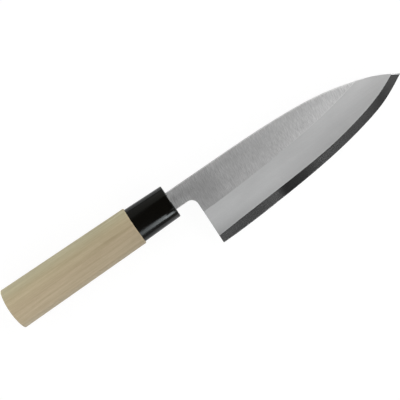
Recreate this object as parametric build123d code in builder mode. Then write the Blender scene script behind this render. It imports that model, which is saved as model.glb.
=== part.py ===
"""Deba knife, a heavy single-bevel kitchen knife, lying on its side with the ground face up.

Millimetres. +X runs along the knife to the tip, +Y to the spine and +Z up out of the ground face.
The origin is the middle of the box round the whole knife, on the surface that the handle lies on.
Stations are measured along the knife from the mouth of the ferrule, with the blade on the plus side,
and heights across it from the centre line of the handle.
"""
import os
from math import atan2, cos, degrees, pi, radians, tan

from build123d import *

# Blade outline, seen square to the ground face
blade_length = 178.1
neck_length = 14.6
neck_height = 13.3
neck_radius = 5.2
spine_rise = 6.55
straight_spine = 58.0
heel_drop = 43.85
heel_lean = 0.7
heel_radius = 0.5
tip_drop = 16.75
# Points that the falling spine and the climbing edge pass, as shares of their run and of their fall or climb
spine_run_shares = (0.377, 0.558, 0.739, 0.875)
spine_fall_shares = (0.071, 0.181, 0.4, 0.64)
edge_run_shares = (0.311, 0.626, 0.776, 0.892)
edge_climb_shares = (0.0897, 0.2926, 0.467, 0.6775)
spine_tip_angle = 36.0
edge_tip_angle = 28.0

# Blade thickness: a plate that thins to the tip, ground on one side only
neck_thickness = 6.0
tip_plate_thickness = 2.7
spine_round = 1.0
bevel_width = 25.3
bevel_edge_thickness = 0.3
microbevel_width = 0.35
edge_land = 0.1
grind_sections = 9

# Facet that breaks the spine right behind the tip
tip_facet_length = 7.2
tip_facet_runout = 1.5
tip_facet_width = 1.2
tip_facet_land = 0.12

# Hard steel layer over the whole back: widths laid bare by the bevel, at shares of the way from heel to tip
steel_start = 8.0
bare_run_shares = (0.0, 0.06, 0.31, 0.64, 0.86, 1.0)
bare_widths = (5.7, 6.3, 6.7, 5.95, 6.2, 5.9)

# Hollow ground into the back by a large wheel, with a flat rim all round it
hollow_wheel_radius = 620.0
hollow_edge_rim = 1.6
hollow_spine_rim = 2.4
hollow_heel_rim = 2.5
hollow_tip_rim = 6.0
hollow_sections = 11
hollow_power = 3.0

# Tang, burnt into the handle and bedded in resin
tang_length = 88.0
tang_end_height = 6.5
tang_end_thickness = 3.0
bedding_wall = 0.5
bedding_recess = 0.4

# Handle and ferrule: ovals that both narrow evenly towards the blade
handle_length = 132.2
butt_height = 30.4
butt_thickness = 24.0
butt_dome_radius = 52.0
butt_round = 1.3
joint_height = 28.1
joint_chamfer = 0.45
oval_end_share = 0.8
ferrule_length = 29.5
ferrule_joint_height = 25.8
ferrule_joint_thickness = 20.1
ferrule_mouth_height = 24.5
ferrule_wall = 2.5
ferrule_front_wall = 4.0
ferrule_round = 0.7
dent_width = 5.2
dent_depth = 0.65
dent_rise = 1.5
tenon_clearance = 0.1
tenon_end_gap = 0.8
tenon_chamfer = 0.6

# Cuts run past the solid by this much
overrun = 2.0
half_turn = 180.0
quarter_turn = 90.0
halvings = 40

# Where the pieces lie
mouth_x = (handle_length - blade_length) / 2
axis_y = (heel_drop - butt_height / 2) / 2
axis_z = butt_thickness / 2
back_z = axis_z - neck_thickness / 2
neck_bottom = spine_rise - neck_height
tang_middle = spine_rise - neck_height / 2
neck_corner = (neck_length, neck_bottom)
heel = (neck_length - heel_lean, -heel_drop)
tip = (blade_length, -tip_drop)
spine_start = (0, spine_rise)
curve_start = (straight_spine, spine_rise)

blade_plan = Plane(origin=(mouth_x, axis_y, back_z))
blade_side = Plane(origin=(mouth_x, axis_y, back_z), x_dir=(1, 0, 0), z_dir=(0, -1, 0))
handle_plan = Plane(origin=(mouth_x, axis_y, axis_z))
handle_axis = Axis(origin=(mouth_x, axis_y, axis_z), direction=(1, 0, 0))
handle_side = Plane(origin=(mouth_x, axis_y, axis_z), x_dir=(1, 0, 0), z_dir=(0, -1, 0))


def across_blade(station):
    """Plane across the blade: local x to the spine, local y up from the flat back."""
    return Plane(origin=(mouth_x + station, axis_y, back_z), x_dir=(0, 1, 0), z_dir=(1, 0, 0))


def across_handle(station):
    """Plane across the handle: local x to the spine, local y up from the centre line."""
    return Plane(origin=(mouth_x + station, axis_y, axis_z), x_dir=(0, 1, 0), z_dir=(1, 0, 0))


def between(start, end, run_shares, fall_shares):
    """Points at shares of the way from start to end, along the knife and across it."""
    run, fall = end[0] - start[0], end[1] - start[1]
    return [(start[0] + r * run, start[1] + f * fall) for r, f in zip(run_shares, fall_shares)]


def plate_thickness(station):
    """Thickness of the unground plate, which thins evenly from the mouth to the tip."""
    return neck_thickness + (tip_plate_thickness - neck_thickness) * station / blade_length


def bevel_height(station, offset):
    """Height of the ground bevel over the flat back, at an offset in from the edge."""
    climb = (plate_thickness(station) - bevel_edge_thickness) / bevel_width
    return bevel_edge_thickness + climb * offset


def crossing(curve, station):
    """Height across the knife at which an outline curve passes a station."""
    low, high = 0.0, 1.0
    for _ in range(halvings):
        middle = (low + high) / 2
        if (curve @ middle).X < station:
            low = middle
        else:
            high = middle
    return (curve @ low).Y


def oval(height, thickness):
    """Face inside four tangent arcs: tight ones to the spine and the edge, slack ones above and below."""
    end_radius = oval_end_share * thickness / 2
    reach = height / 2 - end_radius
    face_radius = (reach**2 + (thickness / 2) ** 2 - end_radius**2) / (thickness - 2 * end_radius)
    sink = face_radius - thickness / 2
    turn = degrees(atan2(sink, reach))
    with BuildSketch() as section:
        with BuildLine():
            CenterArc((reach, 0), end_radius, -turn, 2 * turn)
            CenterArc((0, -sink), face_radius, turn, half_turn - 2 * turn)
            CenterArc((-reach, 0), end_radius, half_turn - turn, 2 * turn)
            CenterArc((0, sink), face_radius, half_turn + turn, half_turn - 2 * turn)
        make_face()
    return section.sketch


with BuildLine() as spine_line:
    Spline(
        spine_start,
        (straight_spine / 2, spine_rise),
        curve_start,
        *between(curve_start, tip, spine_run_shares, spine_fall_shares),
        tip,
        tangents=((1, 0), (1, -tan(radians(spine_tip_angle)))),
    )
spine_curve = spine_line.edges()[0]

with BuildLine() as edge_line:
    Spline(
        heel,
        *between(heel, tip, edge_run_shares, edge_climb_shares),
        tip,
        tangents=((1, 0), (1, tan(radians(edge_tip_angle)))),
    )
edge_curve = edge_line.edges()[0]


# Unground blade: a plate under the whole run of the spine, its upper edge rounded, cut to the outline
spine_way = Vector(1, -tan(radians(spine_tip_angle))).normalized()
past_tip = Vector(*tip) + spine_way * tip_facet_length
below_heel = -heel_drop - overrun
with BuildPart() as blank:
    with BuildSketch(blade_plan):
        with BuildLine():
            add(spine_curve)
            Polyline(
                tip,
                past_tip,
                (past_tip.X, below_heel),
                (0, below_heel),
                spine_start,
            )
        make_face()
    extrude(amount=neck_thickness)
    with BuildSketch(blade_side):
        with BuildLine():
            Polyline(
                (0, 0),
                (past_tip.X, 0),
                (past_tip.X, plate_thickness(past_tip.X)),
                (0, neck_thickness),
                close=True,
            )
        make_face()
    extrude(amount=heel_drop + 2 * overrun, both=True, mode=Mode.INTERSECT)
    upper_face = blank.faces().sort_by(SortBy.AREA)[-2:].sort_by(Axis.Z)[-1]
    spine_edges = [edge for edge in upper_face.edges() if (edge @ (1 / 2)).Y > axis_y - tip_drop]
    fillet([edge for edge in spine_edges if edge.length > neck_thickness], radius=spine_round)
    with BuildSketch(blade_plan) as outline:
        with BuildLine():
            add(spine_curve)
            add(edge_curve)
            Polyline(spine_start, (0, neck_bottom), neck_corner, heel)
        make_face()
        fillet(outline.vertices().sort_by_distance(neck_corner)[0], radius=neck_radius)
        fillet(outline.vertices().sort_by_distance(heel)[0], radius=heel_radius)
    extrude(amount=neck_thickness, mode=Mode.INTERSECT)


def grind_waste(offset, edge_height, inner_height):
    """What a grind takes off above the edge, where inner_height gives its height at the offset."""
    heel_way, tip_way = edge_curve % 0, edge_curve % 1
    feet = [edge_curve @ (i / (grind_sections - 1)) for i in range(grind_sections)]
    places = [(heel[0] - overrun, heel[1] - overrun * heel_way.Y / heel_way.X)]
    places += [(foot.X, foot.Y) for foot in feet]
    places += [(tip[0] + overrun, tip[1] + overrun * tip_way.Y / tip_way.X)]
    outer, inner = -overrun, offset + overrun
    top = neck_thickness + overrun
    with BuildPart() as waste:
        for station, foot in places:
            climb = (inner_height(station) - edge_height) / offset
            with BuildSketch(across_blade(station)):
                with BuildLine():
                    Polyline(
                        (foot + outer, edge_height + outer * climb),
                        (foot + inner, edge_height + inner * climb),
                        (foot + inner, top),
                        (foot + outer, top),
                        close=True,
                    )
                make_face()
        loft()
    return waste.part


def microbevel_height(station):
    """Height at which the microbevel runs out into the main bevel."""
    return bevel_height(station, microbevel_width)


bevel_waste = grind_waste(bevel_width, bevel_edge_thickness, plate_thickness)
microbevel_waste = grind_waste(microbevel_width, edge_land, microbevel_height)

# Tip facet: sections square to the spine's last stretch, measured back from the tip
facet_start = tip_facet_length * cos(radians(spine_tip_angle))
facet_foot = Vector(blade_length - facet_start, crossing(spine_curve, blade_length - facet_start))
facet_way = (facet_foot - Vector(*tip)).normalized()
facet_in = Vector(facet_way.Y, -facet_way.X)
facet_thickness = bevel_height(facet_foot.X, facet_foot.Y - crossing(edge_curve, facet_foot.X))
facet_sections = (
    (-overrun, tip_facet_land, bevel_edge_thickness),
    (tip_facet_length - tip_facet_runout, tip_facet_land, facet_thickness),
    (tip_facet_length, facet_thickness, facet_thickness),
)
with BuildPart() as facet_waste:
    for back, spine_land, inner_land in facet_sections:
        place = Vector(mouth_x, axis_y, back_z) + Vector(*tip) + facet_way * back
        with BuildSketch(Plane(origin=place, x_dir=facet_in, z_dir=facet_way)):
            with BuildLine():
                Polyline(
                    (-overrun, spine_land),
                    (0, spine_land),
                    (tip_facet_width, inner_land),
                    (tip_facet_width, neck_thickness),
                    (-overrun, neck_thickness),
                    close=True,
                )
            make_face()
    loft(ruled=True)

# Hollow of the back: arcs of one large wheel from rim to rim, drawn in at both ends
hollow_start = neck_length + hollow_heel_rim
hollow_end = blade_length - hollow_tip_rim
with BuildPart() as hollow_waste:
    for i in range(hollow_sections):
        lean = -cos(pi * (i + 1 / 2) / hollow_sections)
        fullness = (1 - abs(lean) ** hollow_power) ** (1 / hollow_power)
        station = (hollow_start + hollow_end + lean * (hollow_end - hollow_start)) / 2
        low = crossing(edge_curve, station) + hollow_edge_rim
        high = crossing(spine_curve, station) - hollow_spine_rim
        middle = (low + high) / 2
        half_chord = fullness * (high - low) / 2
        depth = half_chord**2 / (2 * hollow_wheel_radius)
        with BuildSketch(across_blade(station)):
            with BuildLine():
                ThreePointArc((middle - half_chord, 0), (middle, depth), (middle + half_chord, 0))
                Polyline(
                    (middle + half_chord, 0),
                    (middle + half_chord, -overrun),
                    (middle - half_chord, -overrun),
                    (middle - half_chord, 0),
                )
            make_face()
    loft()


def tang_bar(margin):
    """The tang, or the space that leaves a margin round it: a bar that tapers in plan and in side view."""
    end = -tang_length - margin
    height, end_height = neck_height / 2 + margin, tang_end_height / 2 + margin
    thickness, end_thickness = neck_thickness / 2 + margin, tang_end_thickness / 2 + margin
    with BuildPart() as bar:
        with BuildSketch(handle_plan):
            with BuildLine():
                Polyline(
                    (0, tang_middle + height),
                    (end, tang_middle + end_height),
                    (end, tang_middle - end_height),
                    (0, tang_middle - height),
                    close=True,
                )
            make_face()
        extrude(amount=thickness, both=True)
        with BuildSketch(handle_side):
            with BuildLine():
                Polyline(
                    (0, thickness),
                    (end, end_thickness),
                    (end, -end_thickness),
                    (0, -thickness),
                    close=True,
                )
            make_face()
        extrude(amount=neck_height, both=True, mode=Mode.INTERSECT)
    return bar.part


# Whole blade, both layers of it, with its tang
with BuildPart() as blade:
    add(tang_bar(0))
    add(blank.part)
    add(bevel_waste, mode=Mode.SUBTRACT)
    add(microbevel_waste, mode=Mode.SUBTRACT)
    add(facet_waste.part, mode=Mode.SUBTRACT)
    add(hollow_waste.part, mode=Mode.SUBTRACT)

# Space of the hard steel layer in side view: a scarf up from the back, then the forge-weld line to the tip
weld_line = []
for share, width in zip(bare_run_shares, bare_widths):
    station = heel[0] + share * (blade_length - heel[0])
    weld_line.append((station, bevel_height(station, width)))
weld_heel, weld_tip = weld_line[0], weld_line[-1]
scarf_slope = weld_heel[1] / (weld_heel[0] - steel_start)
with BuildPart() as steel_space:
    with BuildSketch(blade_side):
        with BuildLine():
            Spline(*weld_line)
            Polyline(
                weld_tip,
                (blade_length + overrun, weld_tip[1]),
                (blade_length + overrun, -overrun),
                (steel_start - overrun / scarf_slope, -overrun),
                weld_heel,
            )
        make_face()
    extrude(amount=heel_drop + overrun, both=True)

with BuildPart() as edge_steel:
    add(blade.part)
    add(steel_space.part, mode=Mode.INTERSECT)
edge_steel.part.label = "edge_steel"

with BuildPart() as blade_cladding:
    add(blade.part)
    add(steel_space.part, mode=Mode.SUBTRACT)
blade_cladding.part.label = "blade_cladding"

# Space of the tang with its bedding, cut out of both the ferrule and the handle
bed_space = tang_bar(bedding_wall)
with BuildPart() as tang_bedding:
    add(bed_space)
    split(bisect_by=across_handle(-bedding_recess), keep=Keep.BOTTOM)
    add(blade_cladding.part, mode=Mode.SUBTRACT)
tang_bedding.part.label = "tang_bedding"

# Both narrow by the same taper all round, so their thickness shrinks by as much as their height
grip_length = handle_length - ferrule_length
handle_taper = degrees(atan2((butt_height - joint_height) / 2, grip_length))
ferrule_narrowing = ferrule_joint_height - ferrule_mouth_height
ferrule_taper = degrees(atan2(ferrule_narrowing / 2, ferrule_length))
ferrule_mouth_thickness = ferrule_joint_thickness - ferrule_narrowing

# Tenon of the handle, and the socket in the ferrule that it fills
tenon_height = ferrule_mouth_height - 2 * (ferrule_wall + tenon_clearance)
tenon_thickness = ferrule_mouth_thickness - 2 * (ferrule_wall + tenon_clearance)
socket_depth = ferrule_length - ferrule_front_wall
tenon_length = socket_depth - tenon_end_gap

with BuildPart() as handle:
    with BuildSketch(across_handle(-handle_length)):
        add(oval(butt_height, butt_thickness))
    extrude(amount=grip_length, taper=handle_taper)
    with BuildSketch(handle_plan):
        with BuildLine():
            CenterArc((butt_dome_radius - handle_length, 0), butt_dome_radius, quarter_turn, quarter_turn)
            Polyline(
                (-handle_length, 0),
                (0, 0),
                (0, butt_dome_radius),
                (butt_dome_radius - handle_length, butt_dome_radius),
            )
        make_face()
    revolve(axis=handle_axis, mode=Mode.INTERSECT)
    fillet(handle.faces().sort_by(Axis.X)[0].edges(), radius=butt_round)
    chamfer(handle.faces().sort_by(Axis.X)[-1].edges(), length=joint_chamfer)
    with BuildSketch(across_handle(-ferrule_length)):
        add(oval(tenon_height, tenon_thickness))
    extrude(amount=tenon_length)
    chamfer(handle.faces().sort_by(Axis.X)[-1].edges(), length=tenon_chamfer)
    add(bed_space, mode=Mode.SUBTRACT)
handle.part.label = "handle"

dent_radius = ((dent_width / 2) ** 2 + dent_depth**2) / (2 * dent_depth)
with BuildPart() as ferrule:
    with BuildSketch(across_handle(-ferrule_length)):
        add(oval(ferrule_joint_height, ferrule_joint_thickness))
    extrude(amount=ferrule_length, taper=ferrule_taper)
    fillet(ferrule.faces().sort_by(Axis.X)[-1].edges(), radius=ferrule_round)
    with BuildSketch(across_handle(-ferrule_length)):
        add(oval(tenon_height + 2 * tenon_clearance, tenon_thickness + 2 * tenon_clearance))
    extrude(amount=socket_depth, mode=Mode.SUBTRACT)
    add(bed_space, mode=Mode.SUBTRACT)
    with BuildSketch(handle_plan.offset(neck_thickness / 2)):
        with Locations((dent_radius - dent_depth, dent_rise)):
            Circle(dent_radius)
    extrude(amount=ferrule_mouth_thickness, mode=Mode.SUBTRACT)
ferrule.part.label = "ferrule"

os.makedirs("parts", exist_ok=True)
export_step(blade_cladding.part, "parts/blade_cladding.step")
export_step(edge_steel.part, "parts/edge_steel.step")
export_step(tang_bedding.part, "parts/tang_bedding.step")
export_step(ferrule.part, "parts/ferrule.step")
export_step(handle.part, "parts/handle.step")
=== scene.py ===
"""Deba knife on a white table, seen from straight above.

Metres, in the frame of the construction model: +X to the tip, +Y to the spine, +Z up.
The materials count in millimetres, in the same frame.
"""
from math import cos, pi, radians, sin

import bpy
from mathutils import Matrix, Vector


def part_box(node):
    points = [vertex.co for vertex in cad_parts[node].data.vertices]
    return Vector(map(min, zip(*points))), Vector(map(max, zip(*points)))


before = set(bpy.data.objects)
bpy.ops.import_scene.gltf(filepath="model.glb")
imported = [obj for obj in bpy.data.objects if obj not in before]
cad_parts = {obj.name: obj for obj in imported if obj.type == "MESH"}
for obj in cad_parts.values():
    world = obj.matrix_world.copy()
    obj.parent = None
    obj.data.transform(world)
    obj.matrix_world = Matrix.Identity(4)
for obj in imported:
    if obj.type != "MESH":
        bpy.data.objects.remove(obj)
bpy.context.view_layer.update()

MM = 0.001

# Places taken from the frame, in metres
ferrule_low, ferrule_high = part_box("ferrule")
AXIS_Y = (ferrule_low.y + ferrule_high.y) / 2
AXIS_Z = (ferrule_low.z + ferrule_high.z) / 2
STEEL_FOOT_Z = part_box("edge_steel")[0].z

# The ferrule's two ends, in millimetres along the knife
MOUTH = ferrule_high.x / MM
JOINT = ferrule_low.x / MM

# How far the brushing leans from square to the blade
BRUSH_LEAN = radians(7)

# The lamps stand round this point, at this distance
STUDIO_CENTRE = Vector((0.03, 0, AXIS_Z))
LAMP_DISTANCE = 1.0

WHITE = (1.0, 1.0, 1.0)
COOL = (0.97, 1.0, 1.01)
WARM = (1.0, 0.96, 0.85)

# Name, azimuth and elevation in degrees, width and height in metres, radiance, colour
LAMPS = (
    ("tip_box", 0, 41, 1.2, 0.9, 0.96, WHITE),
    ("tip_low_box", 0, 14, 0.7, 0.24, 0.9, WHITE),
    ("tip_high_box", 3, 61, 0.52, 0.42, 1.1, WHITE),
    ("front_box", 259.5, 34.5, 0.33, 0.36, 3.7, COOL),
    ("front_end_box", 274, 27.5, 0.19, 0.23, 4.9, COOL),
    ("front_butt_box", 228, 33, 0.66, 0.5, 1.2, WHITE),
    ("front_tip_box", 312, 36, 0.7, 0.55, 0.8, WHITE),
    ("back_butt_box", 142, 30, 1.1, 0.84, 1.12, WHITE),
    ("back_tip_box", 50, 31, 0.84, 0.66, 1.1, WHITE),
    ("back_wide_box", 92, 26, 0.8, 0.7, 0.2, WARM),
    ("butt_high_box", 215, 60, 0.45, 0.42, 0.35, WHITE),
    ("butt_box", 193, 38, 0.6, 0.5, 1.1, WHITE),
)


class Graph:
    """The node tree of a material or a world, built by calls that return output sockets."""

    def __init__(self, owner):
        owner.use_nodes = True
        self.owner = owner
        self.tree = owner.node_tree
        self.tree.nodes.clear()

    def node(self, kind, inputs=(), output=0, **settings):
        """Adds a node, sets its properties, and links or sets the inputs given by name or number."""
        node = self.tree.nodes.new(kind)
        for name, value in settings.items():
            setattr(node, name, value)
        for name, value in dict(inputs).items():
            if isinstance(value, bpy.types.NodeSocket):
                self.tree.links.new(value, node.inputs[name])
            else:
                node.inputs[name].default_value = value
        return node.outputs[output]

    def show(self, shader, kind="ShaderNodeOutputMaterial"):
        """Links a shader to the tree's output and returns the tree's owner."""
        target = self.tree.nodes.new(kind)
        self.tree.links.new(shader, target.inputs["Surface"])
        return self.owner

    def math(self, operation, *values, clamp=False):
        return self.node("ShaderNodeMath", enumerate(values), operation=operation, use_clamp=clamp)

    def add(self, first, *others):
        total = first
        for other in others:
            total = self.math("ADD", total, other)
        return total

    def multiply(self, first, *others):
        product = first
        for other in others:
            product = self.math("MULTIPLY", product, other)
        return product

    def distance(self, value, middle):
        """How far a value lies from a middle, to either side."""
        return self.math("ABSOLUTE", self.math("SUBTRACT", value, middle))

    def remap(self, value, from_low, from_high, to_low=0.0, to_high=1.0, smooth=False):
        """Goes from one level to another while the value runs through a range, and stays there."""
        inputs = {
            "Value": value,
            "From Min": from_low,
            "From Max": from_high,
            "To Min": to_low,
            "To Max": to_high,
        }
        kind = "SMOOTHSTEP" if smooth else "LINEAR"
        return self.node("ShaderNodeMapRange", inputs, "Result", interpolation_type=kind)

    def vector(self, operation, *values):
        names = (0, "Scale") if operation == "SCALE" else range(len(values))
        output = "Value" if operation in ("DOT_PRODUCT", "LENGTH") else "Vector"
        return self.node("ShaderNodeVectorMath", zip(names, values), output, operation=operation)

    def part(self, axis, vector):
        """A vector's X, Y or Z."""
        return self.node("ShaderNodeSeparateXYZ", {"Vector": vector}, axis)

    def place(self, stretch=(1, 1, 1), lean=0.0):
        """Position on the object in millimetres, turned about Z by a lean and then stretched."""
        position = self.node("ShaderNodeTexCoord", output="Object")
        inputs = {"Vector": position, "Angle": lean}
        turned = self.node("ShaderNodeVectorRotate", inputs, rotation_type="Z_AXIS")
        return self.vector("MULTIPLY", turned, tuple(factor / MM for factor in stretch))

    def along(self):
        """Millimetres along the knife, rising to the tip."""
        return self.part("X", self.place())

    def side(self):
        """Millimetres from the knife's axis, rising to the spine."""
        return self.math("SUBTRACT", self.part("Y", self.place()), AXIS_Y / MM)

    def height(self):
        """Millimetres above the underside of the edge steel."""
        return self.math("SUBTRACT", self.part("Z", self.place()), STEEL_FOOT_Z / MM)

    def noise(self, stretch, detail, roughness=0.5, lean=0.0):
        """Noise with about as many waves per millimetre along X, Y and Z as the stretch says."""
        inputs = {
            "Vector": self.place(stretch, lean),
            "Scale": 1.0,
            "Detail": detail,
            "Roughness": roughness,
        }
        return self.node("ShaderNodeTexNoise", inputs)

    def spread(self, noise, low, high):
        """Brings a noise, which keeps mostly between 0.3 and 0.7, to a range of its own."""
        return self.remap(noise, 0.3, 0.7, low, high)

    def normal(self, kind="Normal"):
        return self.node("ShaderNodeNewGeometry", output=kind)

    def softened(self, radius):
        """The normal, rounded over edges by a radius in millimetres."""
        return self.node("ShaderNodeBevel", {"Radius": radius * MM}, samples=8)

    def bump(self, height, strength, depth):
        """The normal, disturbed by a height whose full range is a depth in millimetres."""
        inputs = {"Strength": strength, "Distance": depth * MM, "Height": height}
        return self.node("ShaderNodeBump", inputs)

    def grey(self, tone):
        return self.node("ShaderNodeCombineColor", {"Red": tone, "Green": tone, "Blue": tone})

    def blend(self, share, first, second):
        """Goes from the first colour to the second as the share rises."""
        # The sockets for colours share their names with others, so they go by number
        first_input, second_input, colour_output = 6, 7, 2
        inputs = {"Factor": share, first_input: (*first, 1), second_input: (*second, 1)}
        return self.node("ShaderNodeMix", inputs, colour_output, data_type="RGBA")

    def surface(self, colour, roughness, **others):
        """Principled shader; the others are more of its inputs by name."""
        inputs = {"Base Color": colour, "Roughness": roughness, **others}
        return self.node("ShaderNodeBsdfPrincipled", inputs)

    def metal(self, tone, roughness, **others):
        return self.surface(self.grey(tone), roughness, Metallic=1.0, **others)


def wear(piece, material):
    """Puts a material into a piece's slots."""
    if not piece.material_slots:
        piece.data.materials.append(material)
    for slot in piece.material_slots:
        slot.material = material


def soft_iron():
    """Cladding: brushed across on the flats, satin along the bevel, with painted highlights on its
    edges and ridge.
    """
    graph = Graph(bpy.data.materials.new("soft_iron"))
    along = graph.along()
    normal = graph.normal("True Normal")
    softened = graph.softened(radius=0.45)
    softened_lean = graph.part("Y", softened)

    # A painted highlight on the ridge, clearer to the tip: there the softened lean is halfway to the
    # bevel's
    ridge_lean = -0.041
    on_ridge = graph.remap(graph.distance(softened_lean, ridge_lean), 0.03, 0.0)
    painted_ridge_highlight = graph.multiply(on_ridge, graph.remap(along, 40.0, 110.0, 0.022, 0.352))

    # Painted highlights on the edges, most of all on the spine near the tip
    rim = graph.remap(graph.vector("DOT_PRODUCT", softened, normal), 0.985, 0.9)
    to_spine = graph.remap(softened_lean, 0.05, 0.2)
    tip_spine_highlight = graph.multiply(to_spine, graph.remap(along, 60.0, 120.0, 0.0, 0.5))
    painted_edge_highlight = graph.multiply(rim, graph.add(tip_spine_highlight, 0.04))

    # The bevel leans to the edge, and the flat hardly does
    on_bevel = graph.remap(graph.part("Y", normal), -0.06, -0.08)
    brushed = brushed_iron(graph, painted_ridge_highlight, painted_edge_highlight)
    satin = satin_iron(graph, painted_ridge_highlight, painted_edge_highlight)
    return graph.show(graph.node("ShaderNodeMixShader", {0: on_bevel, 1: brushed, 2: satin}))


def brushed_iron(graph, painted_ridge_highlight, painted_edge_highlight):
    """The flat: fine and coarse lines across it, over slow changes of tone and painted light and
    shade.
    """
    along = graph.along()
    side = graph.side()
    fine = graph.noise((4.0, 0.3, 0.3), detail=3.0, roughness=0.7, lean=BRUSH_LEAN)
    coarse = graph.noise((1.4, 0.14, 0.14), detail=3.0, roughness=0.6, lean=BRUSH_LEAN)
    lines = graph.add(graph.multiply(fine, 0.74), graph.multiply(coarse, 0.26))
    patch = graph.noise((0.06, 0.1, 0.1), detail=2.0)
    depth = graph.remap(patch, 0.35, 0.65, 0.78, 1.14)
    middle_tone = 0.6
    tone = graph.add(graph.multiply(graph.math("SUBTRACT", lines, 0.5), depth), middle_tone)

    cloud = graph.spread(graph.noise((0.05, 0.11, 0.11), detail=3.0, roughness=0.6), 0.95, 1.05)
    # Painted light and shade: lighter to the tip and towards the ridge, with a painted shade patch by
    # the neck
    painted_shading_to_tip = graph.remap(along, -20.0, 130.0, 0.99, 1.22)
    painted_light_to_ridge = graph.remap(side, 3.0, -14.0, 0.98, 1.06)
    shade_patch_middle = -1.0
    painted_shade_patch = graph.remap(graph.distance(along, shade_patch_middle), 19.0, 6.0, 1.0, 0.9, smooth=True)
    tone = graph.add(graph.multiply(tone, cloud, painted_shading_to_tip, painted_light_to_ridge, painted_shade_patch), painted_ridge_highlight)

    # Painted light: lighter at the ferrule, on the upper part, at the neck's foot and along the ridge
    at_ferrule = graph.remap(along, -22.5, -15.0, 1.16, 1.0)
    upper_part = graph.multiply(
        graph.remap(side, 0.5, 4.0, 0.0, 0.22),
        graph.remap(along, 30.0, -20.0, 0.25, 1.0),
        graph.remap(along, 70.0, 40.0),
    )
    neck_foot = graph.multiply(
        graph.remap(side, -1.0, -4.0, 0.0, 0.14),
        graph.remap(along, -8.0, -11.0),
    )
    by_ridge = graph.multiply(
        graph.remap(side, -8.0, -15.0, 0.0, 0.09),
        graph.remap(along, 30.0, 75.0, 1.0, 0.4),
    )
    painted_light_lift = graph.add(upper_part, neck_foot, by_ridge, 1.0)

    # Painted shade on the rounded spine at the neck, and painted light on it from the middle on
    near_spine = graph.remap(graph.part("Y", graph.softened(radius=2.0)), 0.02, 0.4)
    painted_spine_light = graph.multiply(near_spine, graph.remap(along, -8.0, 80.0, -0.08, 0.08))
    tone = graph.multiply(tone, at_ferrule, painted_light_lift, graph.add(painted_spine_light, 1.0))

    brushing = {
        "Anisotropic": 0.75,
        "Tangent": graph.node("ShaderNodeCombineXYZ", {"X": cos(BRUSH_LEAN), "Y": -sin(BRUSH_LEAN)}),
        "Normal": graph.bump(lines, strength=0.2, depth=0.02),
    }
    return graph.metal(graph.add(tone, painted_edge_highlight), roughness=0.38, **brushing)


def satin_iron(graph, painted_ridge_highlight, painted_edge_highlight):
    """The bevel: pale and nearly even, with painted shade at its foot, towards the tip and in the
    corner at the heel.
    """
    along = graph.along()
    height = graph.height()
    streak = graph.spread(graph.noise((0.015, 0.9, 0.9), detail=3.0, roughness=0.55), 0.67, 0.69)
    speck = graph.spread(graph.noise((1.5, 3.0, 3.0), detail=2.0), 0.97, 1.03)
    mottle = graph.spread(graph.noise((0.04, 0.1, 0.1), detail=3.0, roughness=0.55), 0.965, 1.035)
    tone = graph.add(graph.multiply(streak, speck, mottle), painted_ridge_highlight)
    # Painted shade at the foot, towards the tip and in the corner at the heel
    painted_foot_shade = graph.remap(height, 0.8, 2.8, 0.86, 1.03)
    painted_shading_to_tip = graph.remap(along, 50.0, 115.0, 1.035, 0.93)
    in_corner = graph.multiply(graph.remap(along, 28.0, -8.0), graph.remap(height, 4.2, 1.4))
    corner = graph.remap(in_corner, 0.0, 1.0, 1.0, 0.72)
    tone = graph.multiply(tone, painted_foot_shade, painted_shading_to_tip, corner)
    return graph.metal(graph.add(tone, painted_edge_highlight), roughness=0.5)


def hard_steel():
    """Edge steel: darker and glossier than the cladding, with a painted dark reflection along the
    middle of the edge and painted shade to the tip.
    """
    graph = Graph(bpy.data.materials.new("hard_steel"))
    along = graph.along()
    cloud = graph.noise((0.08, 0.3, 0.3), detail=3.0, roughness=0.55)
    streak = graph.noise((0.05, 2.0, 2.0), detail=2.0)
    texture = graph.add(graph.multiply(cloud, 0.6), graph.multiply(streak, 0.4))
    # A painted brighter reflection round the middle of the edge, just before the dark one
    bright_reflection_middle = 38.0
    painted_bright_reflection = graph.remap(graph.distance(along, bright_reflection_middle), 14.0, 3.0, 1.0, 1.25)
    tone = graph.multiply(graph.spread(texture, 0.55, 0.65), painted_bright_reflection)

    # Only the ground side gets the painted dark reflection, and painted shade that darkens it to the
    # tip
    painted_dark_reflection = graph.multiply(
        graph.remap(along, 38.5, 46.0, smooth=True),
        graph.remap(along, 80.0, 60.0, smooth=True),
        graph.remap(along, 47.0, 58.0, 0.66, 0.52),
    )
    painted_shading_to_tip = graph.remap(along, 76.0, 134.0, 1.0, 0.15)
    shade = graph.multiply(graph.math("SUBTRACT", 1.0, painted_dark_reflection), painted_shading_to_tip)
    ground_side = graph.remap(graph.part("Z", graph.normal("True Normal")), 0.0, 0.5)
    tone = graph.multiply(tone, graph.remap(ground_side, 0.0, 1.0, 1.0, shade))

    # What leans to the spine, such as the small facet at the tip, gets a painted highlight and a
    # rounded normal
    softened = graph.softened(radius=1.3)
    facet = graph.remap(graph.part("Y", softened), -0.02, 0.1)
    outward = graph.normal()
    change = graph.vector("SCALE", graph.vector("SUBTRACT", softened, outward), facet)
    rounded = graph.vector("NORMALIZE", graph.vector("ADD", outward, change))
    tone = graph.math("ADD", tone, graph.multiply(facet, 0.8), clamp=True)
    return graph.show(graph.metal(tone, roughness=0.24, Normal=rounded))


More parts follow.
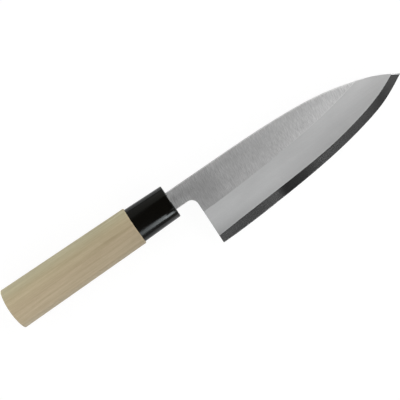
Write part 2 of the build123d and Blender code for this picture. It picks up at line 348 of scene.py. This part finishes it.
def black_moulding():
    """Ferrule: polished at the mouth, duller where it was sanded level with the wood."""
    graph = Graph(bpy.data.materials.new("black_moulding"))
    along = graph.along()
    cloud = graph.noise((0.2, 0.2, 0.2), detail=2.0)
    colour = graph.blend(cloud, (0.0030, 0.0026, 0.0018), (0.0046, 0.0040, 0.0028))
    scuff = graph.spread(graph.noise((0.1, 2.0, 2.0), detail=3.0, roughness=0.6), 0.96, 1.04)
    sanded, polished = MOUTH - 26.0, MOUTH - 3.0
    roughness = graph.multiply(graph.remap(along, sanded, polished, 0.22, 0.1), scuff)
    polish = {
        "Specular IOR Level": graph.remap(along, sanded, polished, 0.3, 0.5),
        "Specular Tint": (0.95, 1.0, 1.02, 1.0),
    }

    # The mouth's rim is slightly rounded on the edge's side
    swing = graph.remap(along, MOUTH - 12.0, MOUTH - 0.5, 0.0, 0.12, smooth=True)
    edge_side = graph.remap(graph.side(), -2.5, -4.5)
    forward = graph.node("ShaderNodeCombineXYZ", {"X": graph.multiply(swing, edge_side)})
    rounded = graph.vector("NORMALIZE", graph.vector("ADD", graph.normal(), forward))
    return graph.show(graph.surface(colour, roughness, Normal=rounded, **polish))


def pale_wood():
    """Magnolia, sawn so that the growth rings lie nearly level, with fine pores along the handle."""
    graph = Graph(bpy.data.materials.new("pale_wood"))
    pores = graph.noise((0.3, 5.0, 5.0), detail=3.0, roughness=0.6)
    share = graph.spread(wood_grain(graph, pores), 0.0, 1.0)
    grain = graph.blend(share, (0.43, 0.345, 0.21), (0.575, 0.475, 0.315))
    tinted = graph.vector("MULTIPLY", grain, wood_tint_and_painted_sheen(graph))
    colour = graph.vector("SCALE", tinted, painted_wood_light(graph))
    porous = graph.bump(pores, strength=0.15, depth=0.03)
    return graph.show(graph.surface(colour, roughness=0.6, Normal=porous))


def wood_grain(graph, pores):
    """Streaks and pores, with rings and one darker line."""
    # The rings lie round a pith outside the handle, and hardly change along it
    ring_width, ring_warp = 3.4, 9.0
    pith_offset = (0.0, 30.0, 70.0)
    pith_stretch = (0.02, 1.0, 1.0)
    from_pith = graph.vector("MULTIPLY", graph.vector("ADD", graph.place(), pith_offset), pith_stretch)
    warp = graph.multiply(graph.noise((0.012, 0.06, 0.06), detail=2.0), ring_warp)
    radius = graph.add(graph.vector("LENGTH", from_pith), warp)
    ring = graph.math("SINE", graph.multiply(radius, 2 * pi / ring_width))
    streak = graph.noise((0.025, 0.8, 0.8), detail=4.0, roughness=0.6)

    # The darker line wanders about its own side and fades to the butt
    line_side, line_reach, line_wander = 2.8, 1.4, 4.0
    wander = graph.multiply(graph.noise((0.02, 0.0, 0.0), detail=2.0), line_wander)
    off_line = graph.distance(graph.add(graph.side(), wander), line_side)
    fading = graph.remap(graph.along(), -140.0, -70.0, 0.15, 1.0)
    line = graph.multiply(graph.remap(off_line, line_reach, 0.0, smooth=True), fading)
    return graph.add(
        graph.multiply(streak, 0.6),
        graph.multiply(pores, 0.4),
        graph.multiply(ring, 0.05),
        graph.multiply(line, -0.13),
    )


def wood_tint_and_painted_sheen(graph):
    """Painted cool light on the spine's side and a painted sheen along its top, where these face up,
    and a cooler tint at the foot of the other side.
    """
    side = graph.side()
    facing_up = graph.remap(graph.part("Z", graph.normal()), 0.0, 0.35)
    upper = graph.multiply(graph.remap(side, -2.0, 10.0), facing_up)
    top = graph.multiply(graph.remap(side, 6.5, 12.5), facing_up)
    foot = graph.remap(side, -11.0, -14.0)
    # Painted light: the upper and top tints stand for cool light and sheen on faces that look up
    painted_upper_light = graph.blend(upper, (1.0, 0.99, 1.0), (1.03, 1.07, 1.03))
    painted_top_sheen = graph.blend(top, WHITE, (1.03, 1.1, 1.15))
    foot_tint = graph.blend(foot, WHITE, (0.98, 1.02, 1.09))
    return graph.vector("MULTIPLY", graph.vector("MULTIPLY", painted_upper_light, painted_top_sheen), foot_tint)


def painted_wood_light(graph):
    """Painted light and shade along and across the handle, and a painted highlight on the rim at the
    ferrule.
    """
    along = graph.along()
    side = graph.side()
    # Painted light and shade: darker to the ferrule, at the foot and along the middle, lighter to the
    # spine's side at the front
    to_ferrule = graph.remap(along, -150.0, -52.0, 1.105, 0.95)
    foot = graph.remap(side, -13.0, -5.0, 0.93, 1.0)
    shaded_side = -2.0
    middle = graph.remap(graph.distance(side, shaded_side), 8.0, 1.0, 1.0, 0.965)
    front = graph.multiply(
        graph.remap(along, -75.0, -58.0),
        graph.remap(side, -8.0, 8.0, -0.03, 0.06),
    )
    # A painted highlight on the rim at the joint with the ferrule
    rim = graph.remap(along, JOINT - 0.9, JOINT - 0.3, 1.0, 1.2)
    return graph.multiply(to_ferrule, foot, middle, graph.add(front, 1.0), rim)


def resin():
    """Bedding of the tang: resin darkened by charred wood."""
    graph = Graph(bpy.data.materials.new("resin"))
    cloud = graph.noise((1.0, 1.0, 1.0), detail=3.0, roughness=0.6)
    colour = graph.blend(cloud, (0.015, 0.012, 0.01), (0.05, 0.04, 0.03))
    return graph.show(graph.surface(colour, roughness=0.6))


def soft_box(name, azimuth, elevation, width, height, radiance, colour):
    """Area lamp at the studio's distance, at an azimuth from +X towards +Y and at an elevation."""
    way = Vector((
        cos(radians(elevation)) * cos(radians(azimuth)),
        cos(radians(elevation)) * sin(radians(azimuth)),
        sin(radians(elevation)),
    ))
    lamp = bpy.data.lights.new(name, "AREA")
    lamp.shape = "RECTANGLE"
    lamp.size = width
    lamp.size_y = height
    lamp.energy = radiance * width * height * pi
    lamp.color = colour
    holder = bpy.data.objects.new(name, lamp)
    holder.location = STUDIO_CENTRE + way * LAMP_DISTANCE
    holder.rotation_euler = way.to_track_quat("Z", "Y").to_euler()
    holder.visible_camera = False
    bpy.context.scene.collection.objects.link(holder)


def surroundings():
    """Walls that darken upwards to the ceiling, white where the camera sees past the table."""
    wall_level, ceiling_level = 0.24, 0.024
    ceiling_rise = 0.75
    world = bpy.data.worlds.new("studio")
    bpy.context.scene.world = world
    graph = Graph(world)
    rise = graph.part("Z", graph.node("ShaderNodeTexCoord", output="Generated"))
    level = graph.remap(rise, 0.0, ceiling_rise, wall_level, ceiling_level)
    seen = graph.node("ShaderNodeLightPath", output="Is Camera Ray")
    strength = graph.node("ShaderNodeMix", {"Factor": seen, "A": level, "B": 1.0})
    glow = graph.node("ShaderNodeBackground", {"Color": (*WHITE, 1), "Strength": strength})
    graph.show(glow, "ShaderNodeOutputWorld")


def table():
    """White table top that shows the knife's soft shadow."""
    reach = 3.0
    mesh = bpy.data.meshes.new("table")
    corners = [(-reach, -reach, 0), (reach, -reach, 0), (reach, reach, 0), (-reach, reach, 0)]
    mesh.from_pydata(corners, [], [(0, 1, 2, 3)])
    top = bpy.data.objects.new("table", mesh)
    bpy.context.scene.collection.objects.link(top)

    # Mostly a glow of its own to the camera, and white paper to the light
    graph = Graph(bpy.data.materials.new("table_top"))
    seen = graph.node("ShaderNodeLightPath", output="Is Camera Ray")
    in_gloss = graph.node("ShaderNodeLightPath", output="Is Glossy Ray")
    in_glass = graph.node("ShaderNodeLightPath", output="Is Transmission Ray")
    reflected = graph.math("MAXIMUM", in_gloss, in_glass)
    shade = graph.blend(seen, (0.87, 0.87, 0.87), (0.12, 0.12, 0.12))
    paper = graph.node("ShaderNodeBsdfDiffuse", {"Color": shade})
    strength = graph.add(graph.multiply(seen, 0.92), graph.multiply(reflected, 0.2))
    glow = graph.node("ShaderNodeEmission", {"Color": (*WHITE, 1), "Strength": strength})
    wear(top, graph.show(graph.node("ShaderNodeAddShader", {0: paper, 1: glow})))


def camera():
    """Looks straight down, turned so that the knife lies as in the photograph."""
    frame_width = 0.27183
    centre_x, centre_y = -0.00613, 0.00362
    distance = 1.0
    turn = radians(-34.45)
    view = bpy.data.cameras.new("camera")
    view.sensor_width = 36.0
    view.lens = view.sensor_width * distance / frame_width
    eye = bpy.data.objects.new("camera", view)
    eye.location = (centre_x, centre_y, AXIS_Z + distance)
    eye.rotation_euler = (0, 0, turn)
    bpy.context.scene.collection.objects.link(eye)
    bpy.context.scene.camera = eye


wear(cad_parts["blade_cladding"], soft_iron())
wear(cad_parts["edge_steel"], hard_steel())
wear(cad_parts["ferrule"], black_moulding())
wear(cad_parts["handle"], pale_wood())
wear(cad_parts["tang_bedding"], resin())
for lamp_row in LAMPS:
    soft_box(*lamp_row)
surroundings()
table()
camera()
bpy.context.scene.view_settings.view_transform = "Standard"
